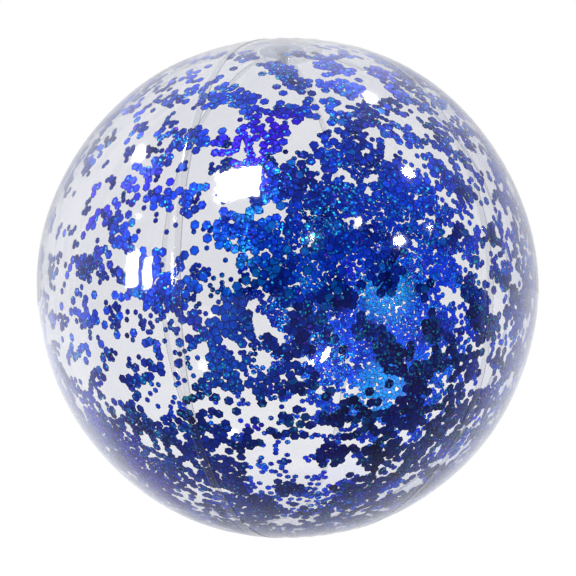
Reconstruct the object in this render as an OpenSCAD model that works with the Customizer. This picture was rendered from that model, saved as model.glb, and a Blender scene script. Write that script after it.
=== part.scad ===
// Inflatable beach ball of clear film, with confetti sealed inside.
// Six lune-shaped panels are lap welded edge to edge and closed by a disc at each end.
// The top disc carries a push-in air valve with a check flap and a tethered plug.
// The origin is the point where the ball rests on the ground, with +Z through both end discs.

/* [Ball] */
// Diameter of the inflated ball over its end discs
ball_d = 400; // [300:1:600]
// Thickness of the film
film_t = 0.3; // [0.2:0.05:0.4]
// Width of the overlap where two panels are welded
lap_w = 5; // [3:0.5:8]
// Radius of the end discs
disc_r = 34; // [30:1:40]
// Radius of the opening that the panel tips leave at each end
pole_hole_r = 20; // [20:0.5:24]

/* [Air valve] */
// Radius of the bore that air is blown through
bore_r = 3.35; // [3.2:0.05:3.8]
// Outer radius of the stem
stem_r = 5; // [4.8:0.1:5.4]
// Length of the stem below its collar
stem_len = 13.8; // [12:0.2:18]
// Radius of the collar round the mouth
collar_r = 6.6; // [6:0.1:7]
// Height of the pushed-in mouth above the film
mouth_h = 0.5; // [0.2:0.1:2]
// How far the stem travels when it is pulled out
stem_travel = 12; // [8:0.5:12]
// Radius of the hole in the film round the stem
neck_r = 11; // [10.6:0.1:12]
// Outer radius of the welded flange
flange_r = 19; // [16:0.5:19.5]
// Wall of the soft moulding
wall = 0.6; // [0.5:0.05:0.8]

/* [Plug] */
// Radius of the plug's cap
cap_r = 5.6; // [5.2:0.1:6]
// Thickness of the plug's cap
cap_t = 1.2; // [1:0.1:2]
// Depth of the plug in the bore
plug_depth = 4.5; // [3:0.1:4.5]
// Radius of the plug's tip
plug_tip_r = 2.3; // [1.8:0.1:2.3]
// Distance from the stem's axis to the tether's bend
tether_reach = 8.2; // [7.8:0.1:8.4]
// Width of the tether
tether_w = 3.6; // [3:0.1:4]
// Length of the pull tab past the cap
tab_len = 4.5; // [3:0.5:6]

/* [Confetti] */
// Size of a piece over its corners
piece_d = 6; // [4:0.5:7]
// Thickness of a piece
piece_t = 0.1; // [0.08:0.02:0.2]
// Pieces clinging to each panel
pieces_per_panel = 24; // [6:1:24]
// Pieces lying loose at the bottom
loose_pieces = 48; // [12:2:48]

/* [Hidden] */
PANELS = 6;
$fn = 96;

film_color = [0.9, 0.92, 0.94, 0.35];
moulding_color = [0.86, 0.88, 0.9, 0.6];
confetti_color = [0.07, 0.16, 0.62];

film_r = ball_d / 2 - film_t;      // outer face of the panels
centre_z = ball_d / 2;
pole_z = ball_d;                   // outer face of the top disc at the axis
gore_angle = 360 / PANELS;
first_seam = -110;                 // direction of the seam where panel 1 starts
lap_root_w = 1.5;                  // stretch of a lap that stays on its own panel
lap_gap = 0.02;                    // weld line between a lap and the panel under it
far = ball_d;                      // longer than any part, for cutting
past = 1;                          // how far a cutter reaches past a face
strip_sweep = 40;                  // wide enough to hold a lap beside the end discs
running_gap = 0.05;                // between parts of the valve that move apart

flange_in_r = neck_r - wall;
collar_t = 1.2;
ear_w = tether_w + 0.6;
mouth_z = pole_z + mouth_h;
stem_bottom_z = mouth_z - collar_t - stem_len;
bellows_drop = stem_travel / 2;    // the bellows turns inside out at half travel
flap_r = 4;
flap_reach = 4.5;                  // from the stem's axis to the flap's bend
cap_z = mouth_z + running_gap;
tether_t = 0.7;
tether_z = cap_z + tether_t / 2;
tab_w = 5;
tab_t = 0.8;
tab_root = 1;                      // how far the tab runs into the cap

golden = (sqrt(5) - 1) / 2;        // spreads pieces evenly, with no rows
cling_turn = 17;                   // each piece is turned so much more than the last
loose_turn = 23;
cling_gap = 0.05;                  // between a clinging piece and the film
loose_gap = 1.2;                   // between a loose piece and the film
lane_in = 16;                      // loose pieces keep this far from the valve's path
lane_out = 62;
lane_reach = 66;

// ---- helpers ----

// Outline of a spherical skin, cut off at radius hole_r from the axis at both ends
module skin_outline(skin_in, skin_out, hole_r) {
    intersection() {
        difference() {
            circle(r = skin_out);
            circle(r = skin_in);
        }
        translate([hole_r, -far]) square([far, 2 * far]);
    }
}

// Strip of spherical skin along the +X meridian, from y0 to y1 across it
module skin_strip(y0, y1, skin_in, skin_out) {
    intersection() {
        rotate([0, 0, -strip_sweep / 2])
        rotate_extrude(angle = strip_sweep)
        skin_outline(skin_in, skin_out, disc_r);
        translate([0, y0, -far]) cube([far, y1 - y0, 2 * far]);
    }
}

// Ring of a spherical skin at the top: from radius r_in to r_out off the axis
module cap_ring(r_in, r_out, skin_in, skin_out) {
    rotate_extrude()
    intersection() {
        difference() {
            circle(r = skin_out);
            circle(r = skin_in);
        }
        translate([r_in, 0]) square([r_out - r_in, far]);
    }
}

// One hexagonal piece, its outer face at distance d from the ball's centre
module piece(azimuth, elevation, d, turn) {
    rotate([0, 90 - elevation, azimuth])
    translate([0, 0, d - piece_t])
    rotate([0, 0, turn])
    cylinder(d = piece_d, h = piece_t, $fn = 6);
}

function fraction(x) = x - floor(x);

// ---- envelope ----

// Panel: a lune of film with a lap along its second edge, which steps up over the next panel
module panel(i) {
    color(film_color)
    translate([0, 0, centre_z])
    rotate([0, 0, first_seam + (i - 1) * gore_angle])
    union() {
        rotate_extrude(angle = gore_angle) skin_outline(film_r - film_t, film_r, pole_hole_r);
        rotate([0, 0, gore_angle]) {
            skin_strip(-lap_root_w, 0, film_r - film_t / 2, film_r + film_t);
            skin_strip(0, lap_w, film_r + lap_gap, film_r + film_t);
        }
    }
}

// Disc over the panel tips at the top, with the hole for the valve
module top_end_disc() {
    color(film_color)
    translate([0, 0, centre_z])
    cap_ring(neck_r, disc_r, film_r, film_r + film_t);
}

// Disc over the panel tips at the bottom, which the ball rests on
module bottom_end_disc() {
    color(film_color)
    translate([0, 0, centre_z])
    mirror([0, 0, 1])
    cap_ring(0, disc_r, film_r, film_r + film_t);
}

// ---- air valve ----

// Flange welded under the top disc, inside the opening of the panel tips
module valve_flange() {
    color(moulding_color)
    translate([0, 0, centre_z])
    cap_ring(flange_in_r, flange_r, film_r - 2 * film_t, film_r);
}

// Soft cone between flange and stem, which turns inside out as the stem travels
module valve_bellows() {
    outer = flange_in_r - running_gap;
    inner = stem_r + running_gap;
    top = pole_z - 2 * film_t;
    color(moulding_color)
    rotate_extrude()
    polygon([
        [outer, top],
        [outer - wall, top],
        [inner, top - bellows_drop + wall],
        [inner, top - bellows_drop - wall],
        [outer, top - 2 * wall]
    ]);
}

// Tube with a collar round its mouth and an ear that the tether bends over
module valve_stem() {
    color(moulding_color)
    difference() {
        union() {
            translate([0, 0, stem_bottom_z]) cylinder(r = stem_r, h = mouth_z - stem_bottom_z);
            translate([0, 0, mouth_z - collar_t]) cylinder(r = collar_r, h = collar_t);
            translate([-tether_reach - tether_t, -ear_w / 2, mouth_z - collar_t])
            cube([tether_reach, ear_w, collar_t]);
        }
        translate([0, 0, stem_bottom_z - past])
        cylinder(r = bore_r, h = stem_len + collar_t + 2 * past);
    }
}

// Round tongue that breath pushes open and the ball's pressure holds shut
module check_flap() {
    color(moulding_color)
    translate([0, 0, stem_bottom_z - running_gap - wall])
    union() {
        cylinder(r = flap_r, h = wall);
        translate([-flap_reach, -flap_r / 2, 0]) cube([flap_reach, flap_r, wall]);
    }
}

// Strap from the bend over the ear to the plug's cap
module plug_tether() {
    color(moulding_color)
    union() {
        translate([-tether_reach, 0, tether_z])
        rotate([90, 0, 0])
        cylinder(d = tether_t, h = tether_w, center = true);
        difference() {
            translate([-tether_reach, -tether_w / 2, cap_z])
            cube([tether_reach, tether_w, tether_t]);
            translate([0, 0, cap_z - past]) cylinder(r = cap_r, h = tether_t + 2 * past);
        }
    }
}

// Cap with a tapered body that closes the bore, and a tab to pull it by
module valve_plug() {
    color(moulding_color)
    union() {
        rotate_extrude()
        polygon([
            [0, cap_z + cap_t],
            [cap_r, cap_z + cap_t],
            [cap_r, cap_z],
            [bore_r - running_gap, cap_z],
            [plug_tip_r, cap_z - plug_depth],
            [0, cap_z - plug_depth]
        ]);
        translate([cap_r - tab_root, -tab_w / 2, cap_z + cap_t - tab_t])
        cube([tab_len + tab_root, tab_w, tab_t]);
    }
}

// ---- confetti ----

// Pieces that cling to the inside of one panel, spread evenly over its area
module confetti(i) {
    margin = 0.12;                 // share of the panel left free at each edge
    top = 0.9;                     // sine of the highest elevation
    color(confetti_color)
    translate([0, 0, centre_z])
    for (k = [0:pieces_per_panel - 1])
        piece(
            first_seam + gore_angle * (i - 1 + margin + (1 - 2 * margin) * fraction(k * golden)),
            asin(top * (2 * (k + 0.5) / pieces_per_panel - 1)),
            film_r - film_t - cling_gap,
            cling_turn * k
        );
}

// Pieces that lie loose at the bottom, in two lanes that pass either side of the valve
module loose_confetti() {
    per_side = loose_pieces / 2;
    d = film_r - film_t - loose_gap;
    color(confetti_color)
    translate([0, 0, centre_z])
    for (side = [-1, 1], k = [0:per_side - 1]) {
        y = side * (lane_in + (lane_out - lane_in) * (k + 0.5) / per_side);
        x = lane_reach * (2 * fraction((k + 1) * golden) - 1);
        piece(atan2(y, x), -acos(norm([x, y]) / d), d, loose_turn * k);
    }
}

// ---- drawing ----

for (i = [1:PANELS]) {
    panel(i);
    confetti(i);
}
top_end_disc();
bottom_end_disc();
valve_flange();
valve_bellows();
valve_stem();
check_flap();
plug_tether();
valve_plug();
loose_confetti();
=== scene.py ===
"""Clear inflatable beach ball with blue holographic confetti inside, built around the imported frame."""
import math

import bpy
import numpy as np
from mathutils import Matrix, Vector


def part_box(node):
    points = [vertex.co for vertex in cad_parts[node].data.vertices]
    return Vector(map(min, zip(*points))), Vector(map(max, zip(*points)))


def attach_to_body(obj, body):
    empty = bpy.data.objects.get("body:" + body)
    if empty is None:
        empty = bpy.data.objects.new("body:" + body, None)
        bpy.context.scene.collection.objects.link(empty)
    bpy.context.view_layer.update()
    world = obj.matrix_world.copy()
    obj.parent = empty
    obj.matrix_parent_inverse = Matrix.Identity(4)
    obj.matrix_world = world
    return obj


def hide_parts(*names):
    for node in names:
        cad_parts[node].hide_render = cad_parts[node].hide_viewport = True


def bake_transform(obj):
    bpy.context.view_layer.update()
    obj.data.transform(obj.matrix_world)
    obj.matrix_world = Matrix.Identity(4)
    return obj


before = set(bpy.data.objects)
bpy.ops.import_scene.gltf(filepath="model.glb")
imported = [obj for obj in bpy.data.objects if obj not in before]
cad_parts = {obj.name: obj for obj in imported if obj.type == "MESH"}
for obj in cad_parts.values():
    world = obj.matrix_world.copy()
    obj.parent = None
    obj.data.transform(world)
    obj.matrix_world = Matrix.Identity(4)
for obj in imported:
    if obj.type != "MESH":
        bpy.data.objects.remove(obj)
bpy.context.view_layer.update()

MM = 0.001

# ---- sizes taken from the frame ----
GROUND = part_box("bottom_end_disc")[0].z
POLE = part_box("top_end_disc")[1].z
FILM = 0.3 * MM
CENTRE = np.array([0.0, 0.0, (GROUND + POLE) / 2])
SKIN_R = (POLE - GROUND) / 2 - FILM          # outer face of the panels
DISC_R = (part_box("top_end_disc")[1].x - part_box("top_end_disc")[0].x) / 2
TIP_R = 20 * MM                              # opening left by the panel tips
NECK_R = 11 * MM                             # opening in the top disc round the valve
PANELS = 6
GORE = 360 / PANELS
FIRST_SEAM = -110.0                          # direction of the seam where panel 1 starts
LAP_ROOT = 1.5 * MM                          # stretch over which a lap steps up

# ---- camera ----
CAMERA_BACK = 3.2 * (POLE - GROUND) / 2      # camera to the ball's centre
LENS = 47.7                                  # mm, on a sensor 36 mm wide
ROLL = 1.5                                   # degrees


# ---- shader writing ----

class Val:
    """A shader socket that can be used in plain arithmetic."""

    def __init__(self, tree, socket):
        self.tree, self.socket = tree, socket

    def calc(self, operation, a, b=0.0):
        return add_node(self.tree, "ShaderNodeMath", [("operation", operation)], i0=a, i1=b)

    def __add__(self, other):
        return self.calc("ADD", self, other)

    def __radd__(self, other):
        return self.calc("ADD", other, self)

    def __sub__(self, other):
        return self.calc("SUBTRACT", self, other)

    def __rsub__(self, other):
        return self.calc("SUBTRACT", other, self)

    def __mul__(self, other):
        return self.calc("MULTIPLY", self, other)

    def __rmul__(self, other):
        return self.calc("MULTIPLY", other, self)

    def __pow__(self, power):
        return self.calc("POWER", self, power)

    def __gt__(self, limit):
        return self.calc("GREATER_THAN", self, limit)

    def __lt__(self, limit):
        return self.calc("LESS_THAN", self, limit)

    def abs(self):
        return self.calc("ABSOLUTE", self)

    def sin(self):
        return self.calc("SINE", self)

    def smooth(self, low, high, to_low=0.0, to_high=1.0):
        """Eases from to_low to to_high as the value goes from low to high."""
        return add_node(self.tree, "ShaderNodeMapRange", [("interpolation_type", "SMOOTHSTEP")],
                        Value=self, From_Min=low, From_Max=high, To_Min=to_low, To_Max=to_high)


def set_socket(tree, socket, value):
    """Links the socket to a Val, or sets it to a constant."""
    if isinstance(value, Val):
        tree.links.new(value.socket, socket)
    else:
        socket.default_value = value


def add_node(tree, kind, settings=(), out=0, **values):
    """Adds a node: settings first, then its sockets by name, with _ for a space, or by index as i0, i1."""
    n = tree.nodes.new(kind)
    for key, v in settings:
        setattr(n, key, v)
    for key, v in values.items():
        index = key[0] == "i" and key[1:].isdigit()
        set_socket(tree, n.inputs[int(key[1:]) if index else key.replace("_", " ")], v)
    return Val(tree, n.outputs[out])


class Shader:
    """A new material, with its tree and the nodes that most finishes need."""

    def __init__(self, name):
        self.material = bpy.data.materials.new(name)
        self.material.use_nodes = True
        self.tree = self.material.node_tree
        self.tree.nodes.clear()

    def node(self, kind, settings=(), out=0, **values):
        return add_node(self.tree, kind, settings, out, **values)

    def place(self):
        """Object space position: the same as the row's frame, in metres."""
        return self.node("ShaderNodeTexCoord", out=3)

    def across(self):
        """UV: metres across the seam, and metres along it."""
        return self.node("ShaderNodeTexCoord", out=2)

    def axis(self, vector, name):
        """One number out of a vector: its X, Y or Z."""
        return self.node("ShaderNodeSeparateXYZ", out="XYZ".index(name), Vector=vector)

    def noise(self, vector, per_metre, detail=2.0, rough=0.5):
        return self.node("ShaderNodeTexNoise", Vector=vector, Scale=per_metre, Detail=detail,
                         Roughness=rough)

    def cells(self, vector, per_metre):
        """A random colour for each cell."""
        return self.node("ShaderNodeTexVoronoi", out=1, Vector=vector, Scale=per_metre)

    def blend(self, share, a, b):
        """Mixes two colours: share 0 gives a, 1 gives b."""
        return self.node("ShaderNodeMix", [("data_type", "RGBA")], out=2, i0=share, i6=a, i7=b)

    def vector(self, operation, a, b=(0, 0, 0)):
        return self.node("ShaderNodeVectorMath", [("operation", operation)], i0=a, i1=b)

    def near(self, place, azimuth, elevation, reach, strength):
        """Strength about that spot on the ball, easing to 0 at that reach in metres."""
        spot = tuple(CENTRE + front(azimuth, elevation) * SKIN_R)
        away = self.node("ShaderNodeVectorMath", [("operation", "DISTANCE")], out=1, i0=place, i1=spot)
        return away.smooth(reach, reach * 0.3, 0.0, strength)

    def bump(self, height, depth):
        """Relief of that depth in metres where height is 1."""
        return self.node("ShaderNodeBump", Strength=1.0, Distance=depth, Height=height)

    def finish(self, shader):
        end = self.tree.nodes.new("ShaderNodeOutputMaterial")
        self.tree.links.new(shader.socket, end.inputs["Surface"])
        return self.material


# places across a lap, from the panel's edge outwards, and the pitch of its weld pattern
WELD_FROM, WELD_TO = -0.2 * MM, 4.9 * MM
ROOT_AT, ROOT_HALF = -0.9 * MM, 0.6 * MM
FREE_EDGE_AT, FREE_EDGE_HALF = 4.7 * MM, 0.5 * MM
WELD_PITCH = 1.6 * MM


def clear_film():
    """Clear soft film: nearly invisible face on, bright and milky at a slant, embossed at the welds."""
    s = Shader("clear_pvc_film")
    place = s.place()
    haze = s.noise(place, 14, 3)
    smear = s.noise(place, 55, 4, 0.6)
    wrinkle = s.noise(place, 90, 2)
    across = s.across()
    off_seam = s.axis(across, "X")
    along = s.axis(across, "Y")
    on_lap = (off_seam > WELD_FROM) * (off_seam < WELD_TO)
    waves = 2 * math.pi / WELD_PITCH
    ribs = (along * waves).sin() * (off_seam * waves).sin()
    root = (off_seam - ROOT_AT).abs() < ROOT_HALF
    free_edge = (off_seam - FREE_EDGE_AT).abs() < FREE_EDGE_HALF
    surface = s.bump(wrinkle * 0.25 + ribs * on_lap * 0.05, 0.4 * MM)
    see = s.node("ShaderNodeBsdfTransparent", Color=(0.945, 0.947, 0.958, 1))
    tone = s.blend(haze, (0.80, 0.82, 0.87, 1), (0.88, 0.89, 0.92, 1))
    tone = s.blend(free_edge, tone, (0.42, 0.44, 0.48, 1))
    skin = s.node("ShaderNodeBsdfPrincipled", Base_Color=tone, Metallic=1.0,
                  Roughness=smear * 0.06 + 0.03, Normal=surface)
    facing = s.node("ShaderNodeLayerWeight", out=1, Blend=0.5, Normal=surface)
    mirror = facing ** 5.0 * 0.80 + 0.030
    cover = mirror + facing ** 3.0 * 0.04 + root * 0.04 + free_edge * 0.16
    return s.finish(s.node("ShaderNodeMixShader", i0=cover, i1=see, i2=skin))


def soft_moulding():
    """Soft moulding of the valve: cloudy clear plastic with faint flow marks."""
    s = Shader("clear_valve_moulding")
    place = s.place()
    flow = s.noise(place, 260, 3, 0.55)
    grain = s.noise(place, 2600, 2)
    see = s.node("ShaderNodeBsdfTransparent", Color=(0.93, 0.94, 0.95, 1))
    cloudy = s.blend(flow, (0.70, 0.73, 0.78, 1), (0.86, 0.88, 0.92, 1))
    surface = s.bump(flow * 0.7 + grain * 0.12, 0.3 * MM)
    body = s.node("ShaderNodeBsdfPrincipled", Base_Color=cloudy, Roughness=flow * 0.15 + 0.14, IOR=1.5,
                  Normal=surface)
    edge = s.node("ShaderNodeLayerWeight", out=1, Blend=0.4)
    return s.finish(s.node("ShaderNodeMixShader", i0=edge * 0.4 + 0.28, i1=see, i2=body))


# Painted flashes, where the foil is painted bright cyan as if it caught the light: azimuth right of the
# front, elevation, reach in metres, strength
PAINTED_FLASH_SPOTS = [
    (-9, 4, 0.020, 0.4), (3, 8, 0.014, 0.4), (-12, 33, 0.018, 0.3), (-6, 14, 0.016, 0.3),
    # the far side
    (148, -2, 0.040, 0.8), (146, -33, 0.045, 0.8), (165, 14, 0.025, 0.6),
]


def holographic_flake():
    """Metallised blue film: each piece has its own blue, with fine cells that flash cyan and violet, painted
    cyan flashes at set spots, and painted shade that darkens each piece towards its outline.
    """
    s = Shader("blue_holographic_flake")
    place = s.place()
    own = s.node("ShaderNodeNewGeometry", out=8)
    patch = s.noise(place, 14, 1)
    tone = own * 0.5 + s.noise(place, 30, 1).smooth(0.36, 0.62) * 0.5
    shade = s.blend(tone, (0.001, 0.007, 0.16, 1), (0.003, 0.062, 0.95, 1))
    shade = s.blend((own - 0.38).abs() < 0.05, shade, (0.001, 0.13, 0.65, 1))
    shade = s.blend(patch.smooth(0.63, 0.75), shade, (0.035, 0.006, 0.80, 1))
    shade = s.blend(patch.smooth(0.42, 0.30), shade, (0.002, 0.10, 0.90, 1))
    # painted highlight: the foil is painted bright cyan about each flash spot
    glow = sum(s.near(place, *spot) for spot in PAINTED_FLASH_SPOTS)
    shade = s.blend(glow * 0.8, shade, (0.012, 0.48, 1.0, 1))
    cell = s.cells(place, 900)
    flash = s.axis(cell, "X")
    kind = s.axis(cell, "Y")
    # near the painted flash spots, more cells take the cyan and violet spark colours
    lively = s.noise(place, 24, 2).smooth(0.48, 0.64, 0.06, 0.26) + glow * 0.25
    spark = s.blend(kind > 0.70, (0.01, 0.24, 1.0, 1), (0.03, 0.80, 1.0, 1))
    spark = s.blend(kind < 0.12, spark, (0.22, 0.03, 0.95, 1))
    colour = s.blend(flash < lively, shade, spark)
    # on the flakes UV X runs from 0 in the middle of a piece to 1 at its outline
    from_middle = s.axis(s.across(), "X")
    # painted shade: each piece darkens to navy towards its outline, for the shade along its edge
    colour = s.blend(from_middle.smooth(0.68, 0.95, 0.0, 0.85), colour, (0.001, 0.006, 0.09, 1))
    normal = s.node("ShaderNodeNewGeometry", out=1)
    lean = s.vector("MULTIPLY", s.vector("SUBTRACT", cell, (0.5, 0.5, 0.5)), lively * 1.6 + 0.12)
    grained = s.vector("NORMALIZE", s.vector("ADD", normal, lean))
    return s.finish(s.node("ShaderNodeBsdfPrincipled", Base_Color=colour, Metallic=0.45,
                           Specular_IOR_Level=0.1, Roughness=s.noise(place, 300, 2) * 0.2 + 0.24,
                           Normal=grained, Coat_Weight=0.03, Coat_Roughness=0.1))


# ---- meshes ----

def new_piece(name, verts, faces, material, uv=None, sharp=None):
    """A smooth-shaded mesh object; edges that turn more than sharp degrees stay crisp."""
    mesh = bpy.data.meshes.new(name)
    mesh.from_pydata([tuple(v) for v in verts], [], [tuple(f) for f in faces])
    mesh.materials.append(material)
    mesh.polygons.foreach_set("use_smooth", [True] * len(mesh.polygons))
    if uv is not None:
        layer = mesh.uv_layers.new(name="UVMap")
        corner = np.empty(len(mesh.loops), int)
        mesh.loops.foreach_get("vertex_index", corner)
        layer.data.foreach_set("uv", np.asarray(uv, float)[corner].ravel())
    if sharp is not None:
        mesh.set_sharp_from_angle(angle=math.radians(sharp))
    mesh.update()
    piece = bpy.data.objects.new(name, mesh)
    bpy.context.scene.collection.objects.link(piece)
    return piece


def ripple_field(count, low, high, seed):
    """A smooth random function of direction: waves with between low and high bumps round the ball."""
    rng = np.random.default_rng(seed)
    aim = rng.normal(size=(count, 3))
    aim /= np.linalg.norm(aim, axis=1)[:, None]
    aim *= rng.uniform(low, high, size=(count, 1))
    phase = rng.uniform(0, 2 * math.pi, count)
    return lambda d: np.sin(d @ aim.T + phase).sum(-1) / math.sqrt(count / 2)


slack = ripple_field(14, 5, 14, 11)
seam_noise = ripple_field(10, 12, 30, 12)
crease_noise = ripple_field(10, 6, 16, 13)

# how far the film strays from a true ball
SEAM_INSET = 0.55 * MM
LOOSE = 0.45 * MM
PUCKER, PUCKER_REACH, PUCKER_PITCH = 0.07 * MM, 7 * MM, 15 * MM
PLEAT, PLEATS = 0.30 * MM, 30                # small folds round each end, at the panel tips


def direction(azimuth, elevation):
    """Unit vector at that azimuth from +X and that elevation, in degrees."""
    a, e = np.radians(azimuth), np.radians(elevation)
    return np.stack([np.cos(e) * np.cos(a), np.cos(e) * np.sin(a), np.sin(e)], -1)


def ease(x, low, high):
    """Goes smoothly from 0 at low to 1 at high."""
    t = np.clip((x - low) / (high - low), 0, 1)
    return t * t * (3 - 2 * t)


def skin_radius(azimuth, elevation):
    """Outer face of the film: tight, a little slack between seams, puckered beside them and at the tips."""
    d = direction(azimuth, elevation)
    t = ((azimuth - FIRST_SEAM) % GORE) / (GORE / 2) - 1
    level = np.cos(np.radians(elevation))
    to_seam = (1 - np.abs(t)) * np.radians(GORE / 2) * SKIN_R * level
    along = np.radians(elevation) * SKIN_R
    inset = -SEAM_INSET * np.abs(t) ** 5 * level
    loose = LOOSE * slack(d) * ease(np.abs(elevation), 85, 70)
    strength = 0.5 + 0.5 * np.tanh(seam_noise(d))
    wave = np.sin(along * 2 * math.pi / PUCKER_PITCH + 2.5 * crease_noise(d))
    pucker = PUCKER * strength * np.exp(-to_seam / PUCKER_REACH) * wave
    near_tip = ease(np.abs(elevation), 58, 79) * ease(np.abs(elevation), 84, 80)
    pleats = PLEAT * near_tip * np.sin(np.radians(azimuth) * PLEATS + 1.5 * crease_noise(d))
    return SKIN_R + inset + loose + pucker + pleats


# rows of points across a lap, from the panel's own film to the lap's free edge
LAP_ROWS = np.array([-1.9, -1.5, -0.9, -0.4, 0.0, 1.2, 2.6, 4.2, 4.8, 5.0]) * MM


def film_panel(number, material):
    """One lune of film as a closed sheet, with its lap stepping up over the next panel."""
    start = FIRST_SEAM + (number - 1) * GORE
    top = math.degrees(math.acos(TIP_R / SKIN_R))
    rows, columns = 220, 42
    elevation = np.linspace(-top, top, rows)
    # columns lie closer together near the seams, where the film puckers
    u = np.linspace(0, 1, columns)
    share = u - 0.11 * np.sin(2 * math.pi * u)
    level = np.cos(np.radians(elevation))[:, None] * SKIN_R
    lap_share = ease(level, DISC_R, DISC_R + 3 * MM)
    width = np.where(LAP_ROWS > 0, LAP_ROWS * np.maximum(lap_share, 0.02), LAP_ROWS)
    sheet = share[None, :-1] * (np.radians(GORE) * level + LAP_ROWS[0])
    arc = np.concatenate([sheet, np.radians(GORE) * level + width], 1)
    azimuth = start + np.degrees(arc / level)
    el = np.broadcast_to(elevation[:, None], azimuth.shape)
    from_seam = arc - np.radians(GORE) * level
    step = (FILM + 0.03 * MM) * ease(from_seam, -LAP_ROOT, -0.4 * MM) * lap_share
    radius = skin_radius(azimuth, el) + step
    d = direction(azimuth, el)
    outer = CENTRE + d * radius[..., None]
    inner = CENTRE + d * (radius - FILM)[..., None]
    m = azimuth.shape[1]
    verts = np.concatenate([outer.reshape(-1, 3), inner.reshape(-1, 3)])
    n = rows * m
    grid = np.arange(n).reshape(rows, m)
    a, b, c, e = grid[:-1, :-1], grid[:-1, 1:], grid[1:, 1:], grid[1:, :-1]
    quads = np.stack([a, b, c, e], -1).reshape(-1, 4)
    faces = [quads, quads[:, ::-1] + n]
    for edge, turn in ((grid[0], 1), (grid[:, -1], 1), (grid[-1], -1), (grid[:, 0], -1)):
        p, q = (edge[:-1], edge[1:])[::turn]
        faces.append(np.stack([q, p, p + n, q + n], -1))
    uv = np.stack([from_seam, np.radians(el) * SKIN_R], -1).reshape(-1, 2)
    # UV X is counted from the second seam, so the weld pattern comes on this panel's own lap alone
    piece = new_piece(f"film_panel_{number}", verts, np.concatenate(faces), material,
                      np.concatenate([uv, uv]), sharp=50)
    attach(piece, "ball", f"panel_{number}")


def polar_sheet(rings, sign, outer_lift, inner_lift):
    """A sheet round a pole at these distances from the axis, its faces lifted so far off the film."""
    turns = 144
    azimuth = np.arange(turns) * 360 / turns + FIRST_SEAM
    elevation = sign * np.degrees(np.arccos(rings / SKIN_R))
    az, el = np.meshgrid(azimuth, elevation)
    d = direction(az, el)
    radius = skin_radius(az, el)
    outer = CENTRE + d * (radius + outer_lift[:, None])[..., None]
    inner = CENTRE + d * (radius + inner_lift[:, None])[..., None]
    count = len(rings) * turns
    grid = np.arange(count).reshape(len(rings), turns)
    loop = np.concatenate([grid, grid[::-1] + count, grid[:1]])
    after = np.roll(loop, -1, axis=1)
    faces = np.stack([loop[:-1], loop[1:], after[1:], after[:-1]], -1).reshape(-1, 4)
    return np.concatenate([outer.reshape(-1, 3), inner.reshape(-1, 3)]), faces[:, ::sign]


def film_disc(name, sign, hole, material):
    """Disc welded over the panel tips, with two pressed rings near its rim."""
    rings = np.concatenate([np.linspace(hole, DISC_R - 1 * MM, 44), [DISC_R - 0.4 * MM, DISC_R]])
    pressed = sum(np.exp(-((rings - r * MM) / (0.7 * MM)) ** 2) for r in (23.5, 31.5))
    lift = 0.05 * MM + 0.18 * MM * pressed
    verts, faces = polar_sheet(rings, sign, lift + FILM, lift * 0.6)
    uv = np.full((len(verts), 2), 0.02)
    attach(new_piece(f"film_{name}", verts, faces, material, uv, sharp=50), "ball", name)


def attach(piece, body, node):
    """The piece rides on the body, and the CAD node it stands for is hidden."""
    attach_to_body(piece, body)
    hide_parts(node)


# ---- air valve ----

LATHE_STEPS = 96


def rounded(corners, radius, steps=4):
    """A closed outline with every corner rounded."""
    corners = np.asarray(corners, float)
    points = []
    for i, p in enumerate(corners):
        back, ahead = corners[i - 1] - p, corners[(i + 1) % len(corners)] - p
        a, b = np.linalg.norm(back), np.linalg.norm(ahead)
        cut = min(radius, 0.45 * a, 0.45 * b)
        start, end = p + back / a * cut, p + ahead / b * cut
        for t in np.linspace(0, 1, steps):
            points.append((1 - t) ** 2 * start + 2 * t * (1 - t) * p + t * t * end)
    return np.array(points)


def lathe(outline):
    """A ring turned about the pole from its closed outline of (radius, height) in mm, anticlockwise."""
    m = len(outline)
    angle = np.arange(LATHE_STEPS) * 2 * math.pi / LATHE_STEPS
    r, z = outline[:, 0] * MM, outline[:, 1] * MM
    verts = np.stack([np.outer(np.cos(angle), r), np.outer(np.sin(angle), r),
                      np.broadcast_to(z, (LATHE_STEPS, m))], -1).reshape(-1, 3)
    grid = np.arange(LATHE_STEPS * m).reshape(LATHE_STEPS, m)
    up, on = np.roll(grid, -1, axis=1), np.roll(grid, -1, axis=0)
    faces = np.stack([grid, on, np.roll(on, -1, axis=1), up], -1).reshape(-1, 4)
    return verts, [list(f) for f in faces]


def sleeve_faces(around, rings):
    """Faces of a closed solid made of rings of so many points each, with a flat face at both ends."""
    last = around * (rings - 1)
    faces = [list(range(around))[::-1], list(range(last, last + around))]
    for row in range(0, last, around):
        for i in range(around):
            j = (i + 1) % around
            faces.append([row + i, row + j, row + around + j, row + around + i])
    return faces


def slab(outline, low, high, soft):
    """A flat piece with softened edges, from its (x, y) outline in mm, anticlockwise."""
    p = np.asarray(outline, float)
    run = np.roll(p, -1, axis=0) - np.roll(p, 1, axis=0)
    inward = np.stack([-run[:, 1], run[:, 0]], 1) / np.linalg.norm(run, axis=1)[:, None]
    rings = []
    for turn in np.radians([0, 30, 60, 90]):
        rings.append((soft * (1 - math.sin(turn)), low + soft * (1 - math.cos(turn))))
    rings += [(inset, low + high - z) for inset, z in rings[::-1]]
    verts = [(x, y, z) for inset, z in rings for x, y in p + inward * inset]
    return np.array(verts) * MM, sleeve_faces(len(p), len(rings))


def joined(*parts):
    """Several (points, faces) pairs as one."""
    verts, faces, count = [], [], 0
    for points, sides in parts:
        verts.append(points)
        faces += [[i + count for i in side] for side in sides]
        count += len(points)
    return np.concatenate(verts), faces


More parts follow.
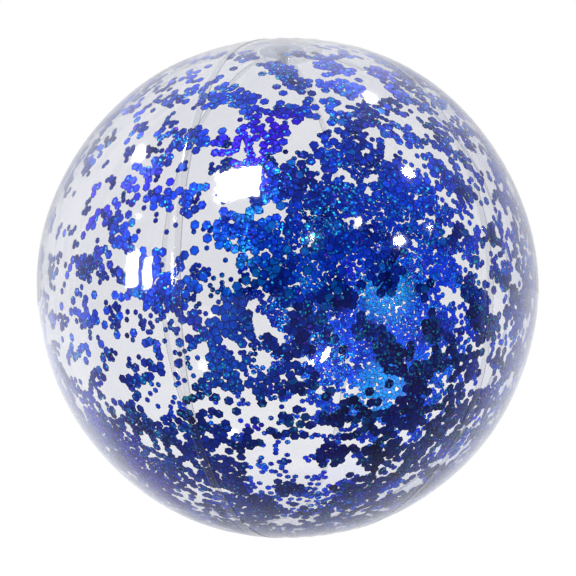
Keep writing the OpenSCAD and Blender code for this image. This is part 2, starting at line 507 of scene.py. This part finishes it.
# ---- the valve's sizes, in mm ----
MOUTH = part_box("valve_stem")[1].z / MM
STEM_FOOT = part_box("valve_stem")[0].z / MM
CAP_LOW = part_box("plug_tether")[0].z / MM
CAP_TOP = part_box("valve_plug")[1].z / MM
PLUG_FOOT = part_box("valve_plug")[0].z / MM
TAB_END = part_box("valve_plug")[1].x / MM
FLAP_LOW, FLAP_TOP = (corner.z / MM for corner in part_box("check_flap"))
CONE_LOW, CONE_TOP = (corner.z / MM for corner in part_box("valve_bellows"))
CONE_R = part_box("valve_bellows")[1].x / MM
EAR_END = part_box("valve_stem")[0].x / MM
BORE_R, STEM_R, COLLAR_R, CAP_R = 3.35, 5.0, 6.6, 5.6
COLLAR_T = 1.2
FLANGE_IN, FLANGE_OUT = 10.4, 19.0
EAR_HALF = 2.1                               # half the width of the ear the tether bends over
FLAP_R, FLAP_STRAP, FLAP_STRAP_HALF = 4.0, 4.5, 2.0
BEND_X = -8.2                                # where the tether bends
TETHER_HALF, TETHER_T, HINGE_THINNING = 1.8, 0.7, 0.35
TAB_HALF, TAB_T = 2.5, 0.8
CONE_WALL_HALF = 0.28


def valve_flange(material):
    """Moulded flange under the top disc, with three weld ridges on its underside."""
    rings = np.linspace(FLANGE_IN * MM, FLANGE_OUT * MM, 60)
    ridges = sum(np.exp(-((rings - r * MM) / (0.35 * MM)) ** 2) for r in (13, 15, 17))
    top = np.full(len(rings), -0.02 * MM)
    verts, faces = polar_sheet(rings, 1, top, -0.55 * MM - 0.3 * MM * ridges)
    flange = new_piece("flange_ring", verts, faces, material, sharp=50)
    attach(flange, "ball", "valve_flange")


def valve_bellows(material):
    """Soft cone from the flange to the stem, with a shallow fold half way."""
    t = np.linspace(0, 1, 24)
    r = STEM_R + 0.15 + (CONE_R - STEM_R - 0.3) * t
    z = CONE_LOW + 0.7 + (CONE_TOP - CONE_LOW - 1.0) * t + 0.5 * np.sin(2 * math.pi * t)
    under, over = np.stack([r, z - CONE_WALL_HALF], 1), np.stack([r, z + CONE_WALL_HALF], 1)
    outline = np.concatenate([under, over[::-1]])
    verts, faces = lathe(outline)
    cone = new_piece("bellows_cone", verts, faces, material, sharp=50)
    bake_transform(cone)
    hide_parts("valve_bellows")


def valve_stem(material):
    """Tube with a beaded collar round the mouth, two rings near its foot and the ear for the tether."""
    tube = rounded([
        (BORE_R, STEM_FOOT), (STEM_R - 0.2, STEM_FOOT), (STEM_R - 0.2, STEM_FOOT + 1.6),
        (STEM_R, STEM_FOOT + 1.8), (STEM_R, STEM_FOOT + 2.5), (STEM_R - 0.2, STEM_FOOT + 2.7),
        (STEM_R - 0.2, STEM_FOOT + 3.6), (STEM_R, STEM_FOOT + 3.8), (STEM_R, MOUTH - COLLAR_T),
        (COLLAR_R, MOUTH - COLLAR_T), (COLLAR_R, MOUTH), (BORE_R + 1.3, MOUTH),
        (BORE_R + 1.1, MOUTH - 0.15), (BORE_R + 0.5, MOUTH - 0.15), (BORE_R, MOUTH - 0.5)], 0.4)
    ear_root = 0.5 - STEM_R
    ear = rounded([(EAR_END, -EAR_HALF), (ear_root, -EAR_HALF),
                   (ear_root, EAR_HALF), (EAR_END, EAR_HALF)], 0.8)
    verts, faces = joined(lathe(tube), slab(ear, MOUTH - COLLAR_T, MOUTH - 0.02, 0.25))
    stem = new_piece("stem_tube", verts, faces, material, sharp=40)
    attach(stem, "stem", "valve_stem")


def check_flap(material):
    """Round tongue under the stem with a stiffening ring, on a short strap."""
    turn = np.radians(np.linspace(-150, 150, 61))
    disc = [(FLAP_R * math.cos(a), FLAP_R * math.sin(a)) for a in turn]
    strap = [(-FLAP_STRAP, FLAP_STRAP_HALF), (-FLAP_STRAP, -FLAP_STRAP_HALF)]
    low, high = FLAP_LOW - 0.2, FLAP_LOW + 0.2
    ring = rounded([(2.2, low), (2.8, low), (2.8, high), (2.2, high)], 0.15)
    verts, faces = joined(slab(disc + strap, FLAP_LOW, FLAP_TOP, 0.15), lathe(ring))
    flap = new_piece("flap_tongue", verts, faces, material, sharp=40)
    attach(flap, "flap", "check_flap")


def valve_plug(material):
    """Dished cap with a tapered, ringed body, and a ribbed tab to pull it by."""
    dish = CAP_TOP - 0.3
    body = rounded([
        (0.02, PLUG_FOOT), (2.0, PLUG_FOOT), (2.4, PLUG_FOOT + 0.4), (2.85, CAP_LOW - 1.9),
        (3.1, CAP_LOW - 1.6), (3.1, CAP_LOW - 1.1), (2.95, CAP_LOW - 0.8), (3.1, CAP_LOW),
        (CAP_R, CAP_LOW), (CAP_R, CAP_TOP), (CAP_R - 1.6, CAP_TOP), (CAP_R - 2.1, dish), (0.02, dish)], 0.3)
    root = CAP_R - 1.2
    tab = rounded([(root, -TAB_HALF), (TAB_END, -TAB_HALF), (TAB_END, TAB_HALF), (root, TAB_HALF)], 1.6, 8)
    parts = [lathe(body), slab(tab, CAP_TOP - TAB_T, CAP_TOP - 0.06, 0.25)]
    for x in (6.8, 7.8, 8.8):
        rib = rounded([(x - 0.25, -1.7), (x + 0.25, -1.7), (x + 0.25, 1.7), (x - 0.25, 1.7)], 0.2)
        parts.append(slab(rib, CAP_TOP - 0.3, CAP_TOP + 0.15, 0.15))
    verts, faces = joined(*parts)
    cap = new_piece("plug_cap", verts, faces, material, sharp=40)
    attach(cap, "plug", "valve_plug")


def plug_tether(material):
    """Strap from the ear to the cap, thinned to a living hinge where it bends."""
    x = np.linspace(EAR_END + 0.05, -CAP_R + 0.5, 40)
    tops = CAP_LOW + TETHER_T - HINGE_THINNING * np.exp(-((x - BEND_X) / 0.35) ** 2)
    verts = []
    for at, top in zip(x, tops):
        section = rounded([(-TETHER_HALF, CAP_LOW), (TETHER_HALF, CAP_LOW), (TETHER_HALF, top),
                           (-TETHER_HALF, top)], 0.15)
        verts += [(at, y, z) for y, z in section]
    faces = sleeve_faces(len(section), len(x))
    strap = new_piece("tether_strap", np.array(verts) * MM, faces, material, sharp=40)
    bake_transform(strap)
    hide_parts("plug_tether")


# ---- confetti ----

PIECE_R = 3.25 * MM                          # over the corners
PIECE_T = 0.08 * MM
PIECE_DOME = 0.10 * MM                       # how far the middle stands off the corners
CLING_TRIES, CLING_SEED = 150000, 5
SPARSE_GAP, CROWDING = 5.4 * MM, 2.2 * MM    # pieces stand closer by the crowding where they're thickest
LOOSE_TRIES, LOOSE_SEED = 2600, 8
LOOSE_GAP = 6.0 * MM
DRIFT_REACH = 76 * MM                        # the drifts end this far from the pole
VALVE_LANE = 17 * MM                         # and stay this far to either side of the valve's path

broad = ripple_field(16, 3, 7, 21)
clump = ripple_field(60, 30, 60, 22)
chain = ripple_field(60, 50, 90, 23)

# Dense and clear patches: azimuth right of the front, elevation, reach in degrees, strength
PATCHES = [
    (-22, 10, 6, -1.4), (-24, -18, 8, -1.2), (-3, -34, 7, -1.4), (8, -37, 6, -0.9), (0, 68, 16, -1.2),
    (-45, 30, 22, -1.1), (-58, 0, 20, -0.5), (20, -5, 5, -1.0), (-8, 6, 4, -0.5), (42, 8, 7, -0.6),
    (30, -2, 5, -0.8), (28, -16, 5, -0.7), (13, -12, 4, -0.6), (3, 16, 4, -0.4),
    (8, 14, 14, 0.15), (22, 22, 12, 0.5), (-34, -30, 13, 1.0), (-12, -24, 10, 0.3),
    (-48, -40, 15, 0.9), (24, -26, 16, 0.5), (10, -52, 16, 0.5), (-15, -54, 14, 0.5), (0, -76, 18, -0.6),
    (-34, 4, 12, 0.1), (-28, 20, 8, 0.5), (40, -14, 16, 0.3), (62, 0, 18, 0.4), (0, 46, 16, 0.4),
    # the far side
    (147, -8, 34, 2.0), (146, -34, 20, 0.8), (168, 14, 14, 0.8), (180, -62, 24, -0.4),
    (-150, 25, 34, -0.5), (180, 60, 20, -0.4),
]


def front(azimuth, elevation):
    """A direction given from the viewer's side: azimuth to the right of the front, and elevation."""
    return direction(np.asarray(azimuth) - 90.0, np.asarray(elevation))


def confetti_share(d):
    """How thickly pieces cling in each direction, from 0 to 1."""
    level = 0.22 * broad(d) - 0.30 * ease(d[:, 1], -0.1, 0.3)
    for azimuth, elevation, reach, strength in PATCHES:
        apart = np.degrees(np.arccos(np.clip(d @ front(azimuth, elevation), -1, 1)))
        level = level + strength * np.exp(-(apart / reach) ** 2)
    level = level - 1.6 * ease(d[:, 2], 0.86, 0.97)
    knots = 0.55 * clump(d) + 0.55 * (0.8 - 1.4 * np.abs(chain(d)))
    return np.maximum(ease(knots + level, -0.05, 0.35), 0.012 * ease(level, -0.9, 0.2))


def spread(points, gaps):
    """Numbers of the points, in order, that are at least their own gap from every point kept before."""
    grid, kept = {}, []
    keys = np.floor(points / gaps.max()).astype(int)
    near = [(i, j, k) for i in (-1, 0, 1) for j in (-1, 0, 1) for k in (-1, 0, 1)]
    for at, p in enumerate(points):
        x, y, z = keys[at]
        close = False
        for i, j, k in near:
            for other in grid.get((x + i, y + j, z + k), ()):
                if ((points[other] - p) ** 2).sum() < gaps[at] ** 2:
                    close = True
                    break
            if close:
                break
        if not close:
            grid.setdefault((x, y, z), []).append(at)
            kept.append(at)
    return np.array(kept)


def hexagons(name, centres, normals, turns, material):
    """A mesh of thin, slightly domed hexagonal pieces, given the middles of their outer faces."""
    side = np.cross(normals, [0.0, 0.0, 1.0])
    side /= np.linalg.norm(side, axis=1)[:, None]
    up = np.cross(normals, side)
    corner = turns[:, None] + np.arange(6) * math.pi / 3
    ring = (np.cos(corner)[..., None] * side[:, None] + np.sin(corner)[..., None] * up[:, None]) * PIECE_R
    outer = centres[:, None] + ring
    thick = normals[:, None] * PIECE_T
    crown = (centres - normals * PIECE_DOME)[:, None]
    verts = np.concatenate([outer, outer - thick, crown, crown - thick], 1)
    # each piece: corners 0-5 outside and 6-11 inside, middles 12 and 13
    one = []
    for i in range(6):
        j = (i + 1) % 6
        one += [[i, 12, j], [i + 6, j + 6, 13], [i, j, j + 6], [i, j + 6, i + 6]]
    faces = (np.array(one)[None] + 14 * np.arange(len(centres))[:, None, None]).reshape(-1, 3)
    from_middle = np.tile([1.0] * 12 + [0.0] * 2, len(centres))
    uv = np.stack([from_middle, np.zeros_like(from_middle)], 1)
    return new_piece(name, verts.reshape(-1, 3), faces, material, uv, sharp=35)


def clinging_confetti(material):
    """Pieces held to the inside of the film by static, in clumps and chains: a mesh for each panel."""
    rng = np.random.default_rng(CLING_SEED)
    d = rng.normal(size=(CLING_TRIES, 3))
    d /= np.linalg.norm(d, axis=1)[:, None]
    share = confetti_share(d)
    kept = (rng.uniform(size=len(d)) < share) & (np.abs(d[:, 2]) < 0.988)
    d, share = d[kept], share[kept]
    d = d[spread(d * SKIN_R, SPARSE_GAP - CROWDING * share)]
    azimuth = np.degrees(np.arctan2(d[:, 1], d[:, 0]))
    elevation = np.degrees(np.arcsin(d[:, 2]))
    lean = rng.normal(size=(len(d), 3)) * math.radians(1.0)
    lean -= (lean * d).sum(1)[:, None] * d
    normal = d + lean
    normal /= np.linalg.norm(normal, axis=1)[:, None]
    slope = np.linalg.norm(lean, axis=1)
    depth = 0.08 * MM + slope * PIECE_R + rng.uniform(0, 0.40 * MM, len(d))
    centre = CENTRE + d * (skin_radius(azimuth, elevation) - FILM - depth)[:, None]
    turns = rng.uniform(0, math.pi / 3, len(d))
    panel = ((azimuth - FIRST_SEAM) % 360 // GORE).astype(int) + 1
    for number in range(1, PANELS + 1):
        mine = panel == number
        piece = hexagons(f"clinging_confetti_{number}", centre[mine], normal[mine], turns[mine], material)
        attach(piece, "ball", f"confetti_{number}")


def loose_confetti(material):
    """Pieces that lie at the bottom in two drifts and slide round the inside as the ball turns."""
    rng = np.random.default_rng(LOOSE_SEED)
    x = rng.normal(0, 36 * MM, LOOSE_TRIES)
    side = rng.choice([-1, 1], LOOSE_TRIES)
    y = side * (VALVE_LANE + np.abs(rng.normal(0, 28 * MM, LOOSE_TRIES)))
    near = np.hypot(x, y) < DRIFT_REACH
    x, y = x[near], y[near]
    z = -np.sqrt(SKIN_R ** 2 - x ** 2 - y ** 2)
    d = np.stack([x, y, z], 1) / SKIN_R
    d = d[spread(d * SKIN_R, np.full(len(d), LOOSE_GAP))]
    lean = rng.normal(size=(len(d), 3)) * math.radians(4.0)
    normal = d + lean
    normal /= np.linalg.norm(normal, axis=1)[:, None]
    depth = 1.9 * MM + rng.uniform(0, 0.7 * MM, len(d))
    centre = CENTRE + d * (SKIN_R - FILM - depth)[:, None]
    turns = rng.uniform(0, math.pi / 3, len(d))
    piece = hexagons("loose_confetti_drifts", centre, normal, turns, material)
    attach(piece, "loose_pieces", "loose_confetti")


# ---- stage, light and camera ----

def grey(tree, level):
    """A neutral colour of that brightness, which may be above 1."""
    return add_node(tree, "ShaderNodeCombineColor", Red=level, Green=level, Blue=level)


FLOOR_HALF = 9                               # half the floor's side, in metres
FLOOR_Z = GROUND - 0.2 * MM
LAMP_BACK = 1.5                              # every lamp's distance from the ball, in metres


def stage_floor():
    """Pale floor to the eye. In the ball's reflections it's bright behind the ball and dark in front."""
    corners = ((-1, -1), (1, -1), (1, 1), (-1, 1))
    verts = [(x * FLOOR_HALF, y * FLOOR_HALF, FLOOR_Z) for x, y in corners]
    s = Shader("pale_floor")
    seen = s.node("ShaderNodeLightPath", out=0)
    pale = s.node("ShaderNodeBsdfDiffuse", Color=(0.10, 0.10, 0.10, 1))
    place = s.place()
    lit = (s.axis(place, "Y").smooth(-0.22, 0.03, 0.01, 0.95)
           + s.axis(place, "X").smooth(-0.2, -0.9, 0.0, 0.25))
    level = seen * 0.98 + (1 - seen) * lit
    glow = s.node("ShaderNodeEmission", Color=grey(s.tree, level), Strength=1.0)
    finish = s.finish(s.node("ShaderNodeAddShader", i0=pale, i1=glow))
    new_piece("studio_floor", verts, [(0, 1, 2, 3)], finish)


def studio_world():
    """White backdrop to the eye. For reflections it's bright behind the ball and dim on the viewer's side."""
    world = bpy.data.worlds.new("studio")
    bpy.context.scene.world = world
    world.use_nodes = True
    tree = world.node_tree
    tree.nodes.clear()
    aim = add_node(tree, "ShaderNodeTexCoord", out=0)
    right, behind, height = (
        add_node(tree, "ShaderNodeSeparateXYZ", out=axis, Vector=aim) for axis in range(3))
    seen = add_node(tree, "ShaderNodeLightPath", out=0)
    lit = (behind.smooth(-0.45, 0.5, 0.012, 0.85) + right.smooth(-0.42, -0.95, 0.0, 0.40)
           + height.smooth(0.3, 0.95, 0.0, 0.20))
    level = seen + (1 - seen) * lit
    light = add_node(tree, "ShaderNodeBackground", Color=grey(tree, level), Strength=1.0)
    end = tree.nodes.new("ShaderNodeOutputWorld")
    tree.links.new(light.socket, end.inputs["Surface"])


def softbox(name, azimuth, elevation, width, height, power, turn=0.0, round_=False):
    """A lamp whose mirror image shows at that azimuth (right of the front) and elevation on the ball."""
    normal = Vector(front(azimuth, elevation))
    spot = Vector(CENTRE) + normal * SKIN_R
    eye = Vector((0.0, -CAMERA_BACK, CENTRE[2]))
    ray = (spot - eye).normalized()
    away = ray - 2 * ray.dot(normal) * normal
    lamp = bpy.data.lights.new(name, "AREA")
    lamp.shape = "ELLIPSE" if round_ else "RECTANGLE"
    lamp.size, lamp.size_y, lamp.energy = width, height, power
    holder = bpy.data.objects.new(name, lamp)
    bpy.context.scene.collection.objects.link(holder)
    holder.location = spot + away * LAMP_BACK
    holder.rotation_euler = (-away).to_track_quat("-Z", "Y").to_euler()
    holder.rotation_euler.rotate_axis("Z", math.radians(turn))
    holder.visible_camera = False


def studio_lights():
    """Windows and lamps that the film mirrors: azimuth, elevation, width, height (m) and power (W)."""
    softbox("key_softbox", -9.6, 18.5, 0.44, 0.31, 19, turn=14)
    softbox("window_left", -28.1, 4.5, 0.15, 0.32, 6, turn=8)
    softbox("window_right", -24.9, 3.6, 0.11, 0.30, 4, turn=8)
    softbox("glow", -30.7, 25.8, 0.18, 0.16, 8, round_=True)
    softbox("top_lamp", 20.8, 38.1, 0.16, 0.10, 5, round_=True)
    softbox("round_lamp", 24.5, 20.1, 0.12, 0.12, 3, round_=True)
    softbox("spark_1", 13.1, 10.8, 0.07, 0.05, 0.8, round_=True)
    softbox("spark_2", 20.8, 7.2, 0.12, 0.07, 1.6, round_=True)
    softbox("spark_3", 3.8, 8.7, 0.06, 0.06, 0.8, round_=True)
    softbox("spark_4", 17.5, -19.2, 0.05, 0.05, 0.6, round_=True)
    softbox("spark_5", 26.6, 9.4, 0.05, 0.04, 0.4, round_=True)
    softbox("spark_6", -27.9, 13.3, 0.04, 0.05, 0.4, round_=True)
    softbox("window_streak", -26.5, -8.0, 0.20, 0.40, 1.4)


def camera():
    """Level camera in front of the ball, at the height of its middle."""
    eye = bpy.data.cameras.new("camera")
    eye.lens = LENS
    eye.sensor_width = 36
    eye.clip_start, eye.clip_end = 0.01, 50
    holder = bpy.data.objects.new("camera", eye)
    bpy.context.scene.collection.objects.link(holder)
    holder.location = (0, -CAMERA_BACK, CENTRE[2])
    holder.rotation_euler = (math.radians(90), math.radians(ROLL), 0)
    bpy.context.scene.camera = holder


# ---- assembly ----

camera()
film = clear_film()
moulding = soft_moulding()
flake = holographic_flake()

for number in range(1, PANELS + 1):
    film_panel(number, film)
film_disc("top_end_disc", 1, NECK_R, film)
film_disc("bottom_end_disc", -1, 0.02 * MM, film)
clinging_confetti(flake)
loose_confetti(flake)
valve_flange(moulding)
valve_bellows(moulding)
valve_stem(moulding)
check_flap(moulding)
valve_plug(moulding)
plug_tether(moulding)

stage_floor()
studio_world()
studio_lights()

bpy.context.scene.view_settings.view_transform = "Standard"
